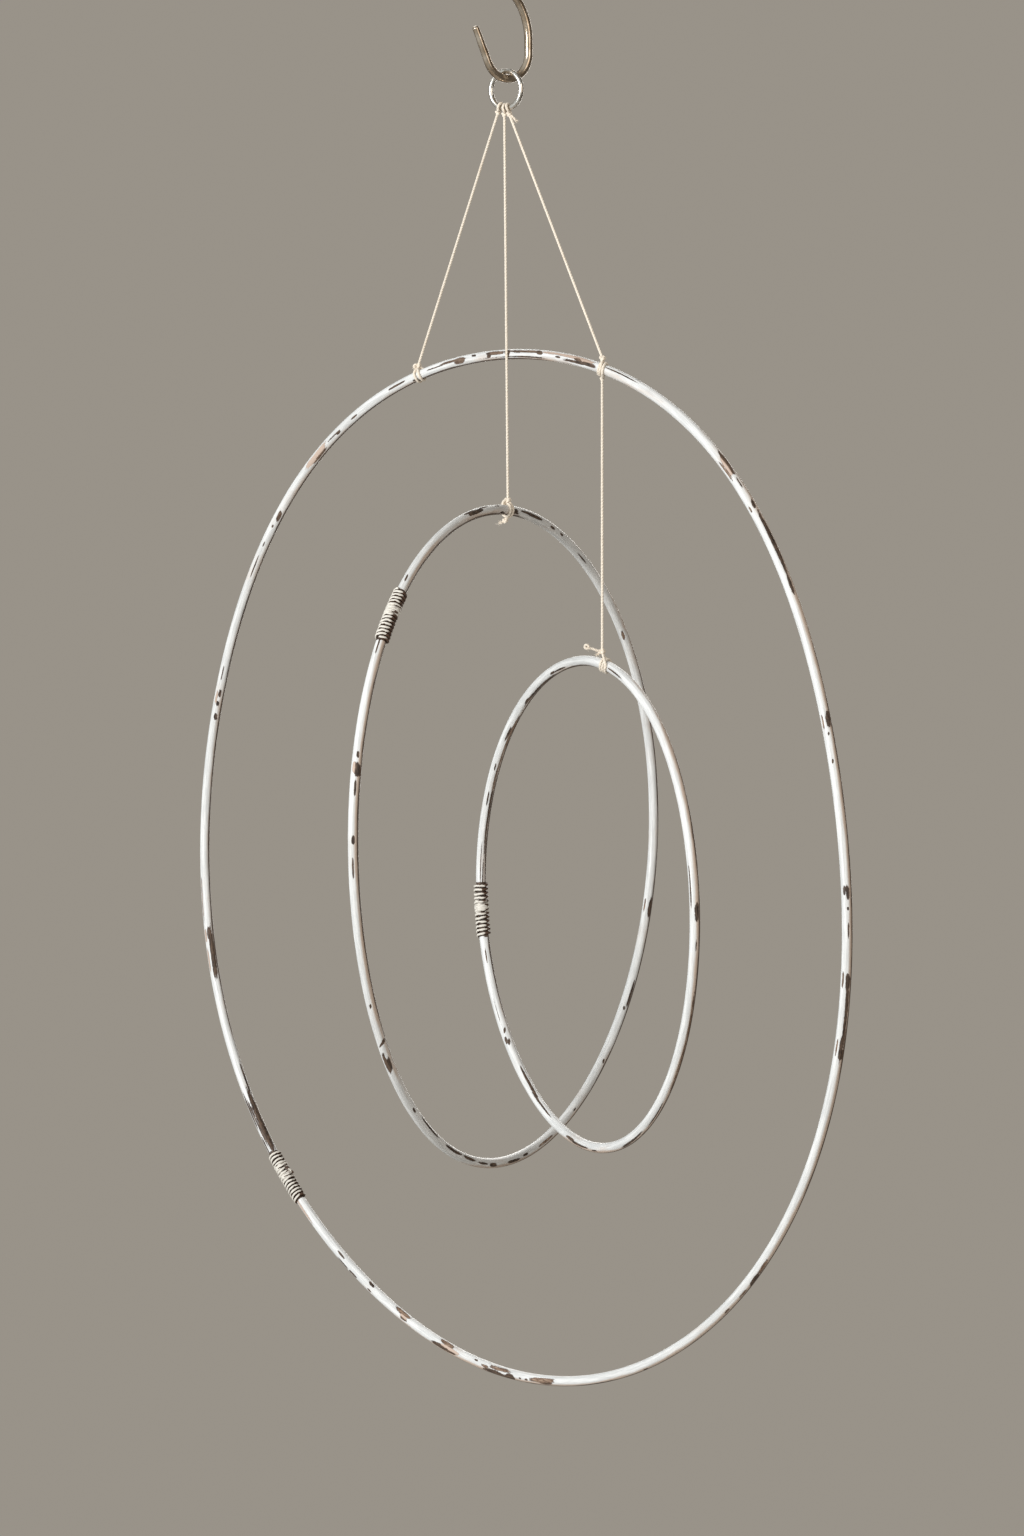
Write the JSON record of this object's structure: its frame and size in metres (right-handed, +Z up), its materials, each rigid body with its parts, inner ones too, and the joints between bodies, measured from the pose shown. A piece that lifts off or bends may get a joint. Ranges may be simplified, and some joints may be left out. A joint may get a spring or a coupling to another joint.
{
  "type": "hanging mobile",
  "caption": "Hanging mobile of nested hand-bent painted metal hoops, hung by cotton strings from a small ring on an S-hook.",
  "frame": {"origin": "inside crown of the S-hook's upper bend, where the mobile is hung up", "axes": "+Z up, +X to the viewer's right, +Y away from the viewer"},
  "size_m": [0.3912, 0.4818, 0.8926],
  "materials": {
    "white_paint": "satin off-white brushed paint, chipped to dark rusty metal along the edges",
    "hook_steel": "aged, brownish, semi-bright",
    "ring_steel": "bright with a dull inside",
    "cotton": "cream twisted cotton string"
  },
  "bodies": {
    "root": {"s_hook": "hook_steel", "hanging_ring": "ring_steel", "outer_hoop": "white_paint", "outer_binding": "white_paint", "middle_hoop": "white_paint", "middle_binding": "white_paint", "small_hoop": "white_paint", "small_binding": "white_paint", "left_string": "cotton", "right_string": "cotton", "middle_string": "cotton", "small_hoop_string": "cotton"}
  },
  "joints": []
}
